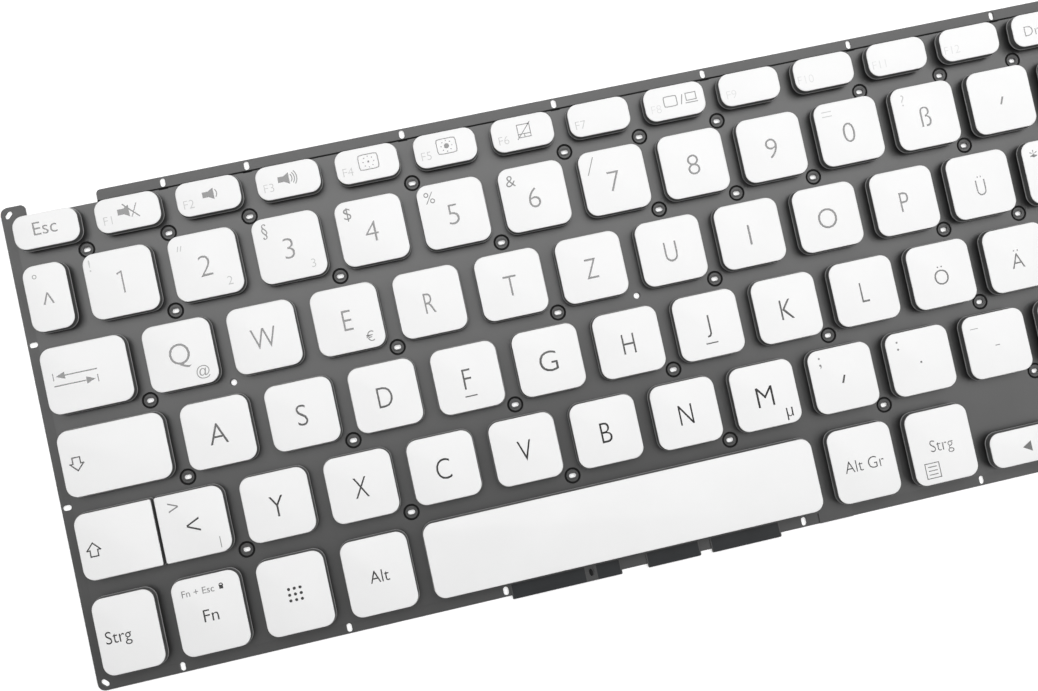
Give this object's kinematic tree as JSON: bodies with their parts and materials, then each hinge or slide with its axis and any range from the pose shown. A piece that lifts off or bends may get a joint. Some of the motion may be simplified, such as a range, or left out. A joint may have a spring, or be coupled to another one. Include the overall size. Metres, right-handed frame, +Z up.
{
  "type": "laptop replacement keyboard",
  "caption": "Bare laptop keyboard: low white keycaps with dark sides on scissor links and rubber domes, over a dark film on a slotted steel plate.",
  "frame": {"origin": "middle of the part's box, on the plate's underside", "axes": "+X along the key rows to the right, +Y from the space key towards the function row, +Z up out of the key tops"},
  "size_m": [0.2764, 0.1122, 0.0045],
  "materials": {
    "plate_steel": "satin dark grey paint on stamped steel",
    "membrane_film": "satin dark grey polyester film",
    "dome_rubber": "pale translucent silicone",
    "link_plastic": "black moulded acetal",
    "wire_steel": "bright drawn wire",
    "keycap_white": "white satin paint on the tops, dark charcoal sides"
  },
  "bodies": {
    "base": {"base_plate": "plate_steel", "circuit_membrane": "membrane_film", "function_row_keycaps": "keycap_white", "inner_scissor_links": "link_plastic", "number_row_keycaps": "keycap_white", "outer_scissor_links": "link_plastic", "rubber_domes": "dome_rubber", "stabiliser_bars": "wire_steel"},
    "key_a": {"key_a": "keycap_white"},
    "key_a_umlaut": {"key_a_umlaut": "keycap_white"},
    "key_arrow_down": {"key_arrow_down": "keycap_white"},
    "key_arrow_left": {"key_arrow_left": "keycap_white"},
    "key_arrow_right": {"key_arrow_right": "keycap_white"},
    "key_arrow_up": {"key_arrow_up": "keycap_white"},
    "key_b": {"key_b": "keycap_white"},
    "key_backspace": {"key_backspace": "keycap_white"},
    "key_c": {"key_c": "keycap_white"},
    "key_caps_lock": {"key_caps_lock": "keycap_white"},
    "key_comma": {"key_comma": "keycap_white"},
    "key_d": {"key_d": "keycap_white"},
    "key_e": {"key_e": "keycap_white"},
    "key_enter": {"key_enter": "keycap_white"},
    "key_f": {"key_f": "keycap_white"},
    "key_function": {"key_function": "keycap_white"},
    "key_g": {"key_g": "keycap_white"},
    "key_h": {"key_h": "keycap_white"},
    "key_hash": {"key_hash": "keycap_white"},
    "key_i": {"key_i": "keycap_white"},
    "key_j": {"key_j": "keycap_white"},
    "key_k": {"key_k": "keycap_white"},
    "key_l": {"key_l": "keycap_white"},
    "key_left_alt": {"key_left_alt": "keycap_white"},
    "key_left_control": {"key_left_control": "keycap_white"},
    "key_left_shift": {"key_left_shift": "keycap_white"},
    "key_less_than": {"key_less_than": "keycap_white"},
    "key_m": {"key_m": "keycap_white"},
    "key_minus": {"key_minus": "keycap_white"},
    "key_n": {"key_n": "keycap_white"},
    "key_o": {"key_o": "keycap_white"},
    "key_o_umlaut": {"key_o_umlaut": "keycap_white"},
    "key_p": {"key_p": "keycap_white"},
    "key_period": {"key_period": "keycap_white"},
    "key_plus": {"key_plus": "keycap_white"},
    "key_q": {"key_q": "keycap_white"},
    "key_r": {"key_r": "keycap_white"},
    "key_right_alt": {"key_right_alt": "keycap_white"},
    "key_right_control": {"key_right_control": "keycap_white"},
    "key_right_shift": {"key_right_shift": "keycap_white"},
    "key_s": {"key_s": "keycap_white"},
    "key_space": {"key_space": "keycap_white"},
    "key_system": {"key_system": "keycap_white"},
    "key_t": {"key_t": "keycap_white"},
    "key_tab": {"key_tab": "keycap_white"},
    "key_u": {"key_u": "keycap_white"},
    "key_u_umlaut": {"key_u_umlaut": "keycap_white"},
    "key_v": {"key_v": "keycap_white"},
    "key_w": {"key_w": "keycap_white"},
    "key_x": {"key_x": "keycap_white"},
    "key_y": {"key_y": "keycap_white"},
    "key_z": {"key_z": "keycap_white"}
  },
  "joints": [
    {"name": "key_a_press", "type": "slide", "parent": "base", "child": "key_a", "axis": [0, 0, -1], "range_m": [0, 0.0014], "stiffness_N_per_m": 200, "springref_m": -0.0015, "deforming": ["rubber_domes", "outer_scissor_links", "inner_scissor_links", "stabiliser_bars"]},
    {"name": "key_a_umlaut_press", "type": "slide", "parent": "base", "child": "key_a_umlaut", "axis": [0, 0, -1], "range_m": [0, 0.0014], "stiffness_N_per_m": 200, "springref_m": -0.0015, "deforming": ["rubber_domes", "outer_scissor_links", "inner_scissor_links", "stabiliser_bars"]},
    {"name": "key_arrow_down_press", "type": "slide", "parent": "base", "child": "key_arrow_down", "axis": [0, 0, -1], "range_m": [0, 0.0014], "stiffness_N_per_m": 200, "springref_m": -0.0015, "deforming": ["rubber_domes", "outer_scissor_links", "inner_scissor_links", "stabiliser_bars"]},
    {"name": "key_arrow_left_press", "type": "slide", "parent": "base", "child": "key_arrow_left", "axis": [0, 0, -1], "range_m": [0, 0.0014], "stiffness_N_per_m": 200, "springref_m": -0.0015, "deforming": ["rubber_domes", "outer_scissor_links", "inner_scissor_links", "stabiliser_bars"]},
    {"name": "key_arrow_right_press", "type": "slide", "parent": "base", "child": "key_arrow_right", "axis": [0, 0, -1], "range_m": [0, 0.0014], "stiffness_N_per_m": 200, "springref_m": -0.0015, "deforming": ["rubber_domes", "outer_scissor_links", "inner_scissor_links", "stabiliser_bars"]},
    {"name": "key_arrow_up_press", "type": "slide", "parent": "base", "child": "key_arrow_up", "axis": [0, 0, -1], "range_m": [0, 0.0014], "stiffness_N_per_m": 200, "springref_m": -0.0015, "deforming": ["rubber_domes", "outer_scissor_links", "inner_scissor_links", "stabiliser_bars"]},
    {"name": "key_b_press", "type": "slide", "parent": "base", "child": "key_b", "axis": [0, 0, -1], "range_m": [0, 0.0014], "stiffness_N_per_m": 200, "springref_m": -0.0015, "deforming": ["rubber_domes", "outer_scissor_links", "inner_scissor_links", "stabiliser_bars"]},
    {"name": "key_backspace_press", "type": "slide", "parent": "base", "child": "key_backspace", "axis": [0, 0, -1], "range_m": [0, 0.0014], "stiffness_N_per_m": 200, "springref_m": -0.0015, "deforming": ["rubber_domes", "outer_scissor_links", "inner_scissor_links", "stabiliser_bars"]},
    {"name": "key_c_press", "type": "slide", "parent": "base", "child": "key_c", "axis": [0, 0, -1], "range_m": [0, 0.0014], "stiffness_N_per_m": 200, "springref_m": -0.0015, "deforming": ["rubber_domes", "outer_scissor_links", "inner_scissor_links", "stabiliser_bars"]},
    {"name": "key_caps_lock_press", "type": "slide", "parent": "base", "child": "key_caps_lock", "axis": [0, 0, -1], "range_m": [0, 0.0014], "stiffness_N_per_m": 200, "springref_m": -0.0015, "deforming": ["rubber_domes", "outer_scissor_links", "inner_scissor_links", "stabiliser_bars"]},
    {"name": "key_comma_press", "type": "slide", "parent": "base", "child": "key_comma", "axis": [0, 0, -1], "range_m": [0, 0.0014], "stiffness_N_per_m": 200, "springref_m": -0.0015, "deforming": ["rubber_domes", "outer_scissor_links", "inner_scissor_links", "stabiliser_bars"]},
    {"name": "key_d_press", "type": "slide", "parent": "base", "child": "key_d", "axis": [0, 0, -1], "range_m": [0, 0.0014], "stiffness_N_per_m": 200, "springref_m": -0.0015, "deforming": ["rubber_domes", "outer_scissor_links", "inner_scissor_links", "stabiliser_bars"]},
    {"name": "key_e_press", "type": "slide", "parent": "base", "child": "key_e", "axis": [0, 0, -1], "range_m": [0, 0.0014], "stiffness_N_per_m": 200, "springref_m": -0.0015, "deforming": ["rubber_domes", "outer_scissor_links", "inner_scissor_links", "stabiliser_bars"]},
    {"name": "key_enter_press", "type": "slide", "parent": "base", "child": "key_enter", "axis": [0, 0, -1], "range_m": [0, 0.0014], "stiffness_N_per_m": 200, "springref_m": -0.0015, "deforming": ["rubber_domes", "outer_scissor_links", "inner_scissor_links", "stabiliser_bars"]},
    {"name": "key_f_press", "type": "slide", "parent": "base", "child": "key_f", "axis": [0, 0, -1], "range_m": [0, 0.0014], "stiffness_N_per_m": 200, "springref_m": -0.0015, "deforming": ["rubber_domes", "outer_scissor_links", "inner_scissor_links", "stabiliser_bars"]},
    {"name": "key_function_press", "type": "slide", "parent": "base", "child": "key_function", "axis": [0, 0, -1], "range_m": [0, 0.0014], "stiffness_N_per_m": 200, "springref_m": -0.0015, "deforming": ["rubber_domes", "outer_scissor_links", "inner_scissor_links", "stabiliser_bars"]},
    {"name": "key_g_press", "type": "slide", "parent": "base", "child": "key_g", "axis": [0, 0, -1], "range_m": [0, 0.0014], "stiffness_N_per_m": 200, "springref_m": -0.0015, "deforming": ["rubber_domes", "outer_scissor_links", "inner_scissor_links", "stabiliser_bars"]},
    {"name": "key_h_press", "type": "slide", "parent": "base", "child": "key_h", "axis": [0, 0, -1], "range_m": [0, 0.0014], "stiffness_N_per_m": 200, "springref_m": -0.0015, "deforming": ["rubber_domes", "outer_scissor_links", "inner_scissor_links", "stabiliser_bars"]},
    {"name": "key_hash_press", "type": "slide", "parent": "base", "child": "key_hash", "axis": [0, 0, -1], "range_m": [0, 0.0014], "stiffness_N_per_m": 200, "springref_m": -0.0015, "deforming": ["rubber_domes", "outer_scissor_links", "inner_scissor_links", "stabiliser_bars"]},
    {"name": "key_i_press", "type": "slide", "parent": "base", "child": "key_i", "axis": [0, 0, -1], "range_m": [0, 0.0014], "stiffness_N_per_m": 200, "springref_m": -0.0015, "deforming": ["rubber_domes", "outer_scissor_links", "inner_scissor_links", "stabiliser_bars"]},
    {"name": "key_j_press", "type": "slide", "parent": "base", "child": "key_j", "axis": [0, 0, -1], "range_m": [0, 0.0014], "stiffness_N_per_m": 200, "springref_m": -0.0015, "deforming": ["rubber_domes", "outer_scissor_links", "inner_scissor_links", "stabiliser_bars"]},
    {"name": "key_k_press", "type": "slide", "parent": "base", "child": "key_k", "axis": [0, 0, -1], "range_m": [0, 0.0014], "stiffness_N_per_m": 200, "springref_m": -0.0015, "deforming": ["rubber_domes", "outer_scissor_links", "inner_scissor_links", "stabiliser_bars"]},
    {"name": "key_l_press", "type": "slide", "parent": "base", "child": "key_l", "axis": [0, 0, -1], "range_m": [0, 0.0014], "stiffness_N_per_m": 200, "springref_m": -0.0015, "deforming": ["rubber_domes", "outer_scissor_links", "inner_scissor_links", "stabiliser_bars"]},
    {"name": "key_left_alt_press", "type": "slide", "parent": "base", "child": "key_left_alt", "axis": [0, 0, -1], "range_m": [0, 0.0014], "stiffness_N_per_m": 200, "springref_m": -0.0015, "deforming": ["rubber_domes", "outer_scissor_links", "inner_scissor_links", "stabiliser_bars"]},
    {"name": "key_left_control_press", "type": "slide", "parent": "base", "child": "key_left_control", "axis": [0, 0, -1], "range_m": [0, 0.0014], "stiffness_N_per_m": 200, "springref_m": -0.0015, "deforming": ["rubber_domes", "outer_scissor_links", "inner_scissor_links", "stabiliser_bars"]},
    {"name": "key_left_shift_press", "type": "slide", "parent": "base", "child": "key_left_shift", "axis": [0, 0, -1], "range_m": [0, 0.0014], "stiffness_N_per_m": 200, "springref_m": -0.0015, "deforming": ["rubber_domes", "outer_scissor_links", "inner_scissor_links", "stabiliser_bars"]},
    {"name": "key_less_than_press", "type": "slide", "parent": "base", "child": "key_less_than", "axis": [0, 0, -1], "range_m": [0, 0.0014], "stiffness_N_per_m": 200, "springref_m": -0.0015, "deforming": ["rubber_domes", "outer_scissor_links", "inner_scissor_links", "stabiliser_bars"]},
    {"name": "key_m_press", "type": "slide", "parent": "base", "child": "key_m", "axis": [0, 0, -1], "range_m": [0, 0.0014], "stiffness_N_per_m": 200, "springref_m": -0.0015, "deforming": ["rubber_domes", "outer_scissor_links", "inner_scissor_links", "stabiliser_bars"]},
    {"name": "key_minus_press", "type": "slide", "parent": "base", "child": "key_minus", "axis": [0, 0, -1], "range_m": [0, 0.0014], "stiffness_N_per_m": 200, "springref_m": -0.0015, "deforming": ["rubber_domes", "outer_scissor_links", "inner_scissor_links", "stabiliser_bars"]},
    {"name": "key_n_press", "type": "slide", "parent": "base", "child": "key_n", "axis": [0, 0, -1], "range_m": [0, 0.0014], "stiffness_N_per_m": 200, "springref_m": -0.0015, "deforming": ["rubber_domes", "outer_scissor_links", "inner_scissor_links", "stabiliser_bars"]},
    {"name": "key_o_press", "type": "slide", "parent": "base", "child": "key_o", "axis": [0, 0, -1], "range_m": [0, 0.0014], "stiffness_N_per_m": 200, "springref_m": -0.0015, "deforming": ["rubber_domes", "outer_scissor_links", "inner_scissor_links", "stabiliser_bars"]},
    {"name": "key_o_umlaut_press", "type": "slide", "parent": "base", "child": "key_o_umlaut", "axis": [0, 0, -1], "range_m": [0, 0.0014], "stiffness_N_per_m": 200, "springref_m": -0.0015, "deforming": ["rubber_domes", "outer_scissor_links", "inner_scissor_links", "stabiliser_bars"]},
    {"name": "key_p_press", "type": "slide", "parent": "base", "child": "key_p", "axis": [0, 0, -1], "range_m": [0, 0.0014], "stiffness_N_per_m": 200, "springref_m": -0.0015, "deforming": ["rubber_domes", "outer_scissor_links", "inner_scissor_links", "stabiliser_bars"]},
    {"name": "key_period_press", "type": "slide", "parent": "base", "child": "key_period", "axis": [0, 0, -1], "range_m": [0, 0.0014], "stiffness_N_per_m": 200, "springref_m": -0.0015, "deforming": ["rubber_domes", "outer_scissor_links", "inner_scissor_links", "stabiliser_bars"]},
    {"name": "key_plus_press", "type": "slide", "parent": "base", "child": "key_plus", "axis": [0, 0, -1], "range_m": [0, 0.0014], "stiffness_N_per_m": 200, "springref_m": -0.0015, "deforming": ["rubber_domes", "outer_scissor_links", "inner_scissor_links", "stabiliser_bars"]},
    {"name": "key_q_press", "type": "slide", "parent": "base", "child": "key_q", "axis": [0, 0, -1], "range_m": [0, 0.0014], "stiffness_N_per_m": 200, "springref_m": -0.0015, "deforming": ["rubber_domes", "outer_scissor_links", "inner_scissor_links", "stabiliser_bars"]},
    {"name": "key_r_press", "type": "slide", "parent": "base", "child": "key_r", "axis": [0, 0, -1], "range_m": [0, 0.0014], "stiffness_N_per_m": 200, "springref_m": -0.0015, "deforming": ["rubber_domes", "outer_scissor_links", "inner_scissor_links", "stabiliser_bars"]},
    {"name": "key_right_alt_press", "type": "slide", "parent": "base", "child": "key_right_alt", "axis": [0, 0, -1], "range_m": [0, 0.0014], "stiffness_N_per_m": 200, "springref_m": -0.0015, "deforming": ["rubber_domes", "outer_scissor_links", "inner_scissor_links", "stabiliser_bars"]},
    {"name": "key_right_control_press", "type": "slide", "parent": "base", "child": "key_right_control", "axis": [0, 0, -1], "range_m": [0, 0.0014], "stiffness_N_per_m": 200, "springref_m": -0.0015, "deforming": ["rubber_domes", "outer_scissor_links", "inner_scissor_links", "stabiliser_bars"]},
    {"name": "key_right_shift_press", "type": "slide", "parent": "base", "child": "key_right_shift", "axis": [0, 0, -1], "range_m": [0, 0.0014], "stiffness_N_per_m": 200, "springref_m": -0.0015, "deforming": ["rubber_domes", "outer_scissor_links", "inner_scissor_links", "stabiliser_bars"]},
    {"name": "key_s_press", "type": "slide", "parent": "base", "child": "key_s", "axis": [0, 0, -1], "range_m": [0, 0.0014], "stiffness_N_per_m": 200, "springref_m": -0.0015, "deforming": ["rubber_domes", "outer_scissor_links", "inner_scissor_links", "stabiliser_bars"]},
    {"name": "key_space_press", "type": "slide", "parent": "base", "child": "key_space", "axis": [0, 0, -1], "range_m": [0, 0.0014], "stiffness_N_per_m": 200, "springref_m": -0.0015, "deforming": ["rubber_domes", "outer_scissor_links", "inner_scissor_links", "stabiliser_bars"]},
    {"name": "key_system_press", "type": "slide", "parent": "base", "child": "key_system", "axis": [0, 0, -1], "range_m": [0, 0.0014], "stiffness_N_per_m": 200, "springref_m": -0.0015, "deforming": ["rubber_domes", "outer_scissor_links", "inner_scissor_links", "stabiliser_bars"]},
    {"name": "key_t_press", "type": "slide", "parent": "base", "child": "key_t", "axis": [0, 0, -1], "range_m": [0, 0.0014], "stiffness_N_per_m": 200, "springref_m": -0.0015, "deforming": ["rubber_domes", "outer_scissor_links", "inner_scissor_links", "stabiliser_bars"]},
    {"name": "key_tab_press", "type": "slide", "parent": "base", "child": "key_tab", "axis": [0, 0, -1], "range_m": [0, 0.0014], "stiffness_N_per_m": 200, "springref_m": -0.0015, "deforming": ["rubber_domes", "outer_scissor_links", "inner_scissor_links", "stabiliser_bars"]},
    {"name": "key_u_press", "type": "slide", "parent": "base", "child": "key_u", "axis": [0, 0, -1], "range_m": [0, 0.0014], "stiffness_N_per_m": 200, "springref_m": -0.0015, "deforming": ["rubber_domes", "outer_scissor_links", "inner_scissor_links", "stabiliser_bars"]},
    {"name": "key_u_umlaut_press", "type": "slide", "parent": "base", "child": "key_u_umlaut", "axis": [0, 0, -1], "range_m": [0, 0.0014], "stiffness_N_per_m": 200, "springref_m": -0.0015, "deforming": ["rubber_domes", "outer_scissor_links", "inner_scissor_links", "stabiliser_bars"]},
    {"name": "key_v_press", "type": "slide", "parent": "base", "child": "key_v", "axis": [0, 0, -1], "range_m": [0, 0.0014], "stiffness_N_per_m": 200, "springref_m": -0.0015, "deforming": ["rubber_domes", "outer_scissor_links", "inner_scissor_links", "stabiliser_bars"]},
    {"name": "key_w_press", "type": "slide", "parent": "base", "child": "key_w", "axis": [0, 0, -1], "range_m": [0, 0.0014], "stiffness_N_per_m": 200, "springref_m": -0.0015, "deforming": ["rubber_domes", "outer_scissor_links", "inner_scissor_links", "stabiliser_bars"]},
    {"name": "key_x_press", "type": "slide", "parent": "base", "child": "key_x", "axis": [0, 0, -1], "range_m": [0, 0.0014], "stiffness_N_per_m": 200, "springref_m": -0.0015, "deforming": ["rubber_domes", "outer_scissor_links", "inner_scissor_links", "stabiliser_bars"]},
    {"name": "key_y_press", "type": "slide", "parent": "base", "child": "key_y", "axis": [0, 0, -1], "range_m": [0, 0.0014], "stiffness_N_per_m": 200, "springref_m": -0.0015, "deforming": ["rubber_domes", "outer_scissor_links", "inner_scissor_links", "stabiliser_bars"]},
    {"name": "key_z_press", "type": "slide", "parent": "base", "child": "key_z", "axis": [0, 0, -1], "range_m": [0, 0.0014], "stiffness_N_per_m": 200, "springref_m": -0.0015, "deforming": ["rubber_domes", "outer_scissor_links", "inner_scissor_links", "stabiliser_bars"]}
  ]
}
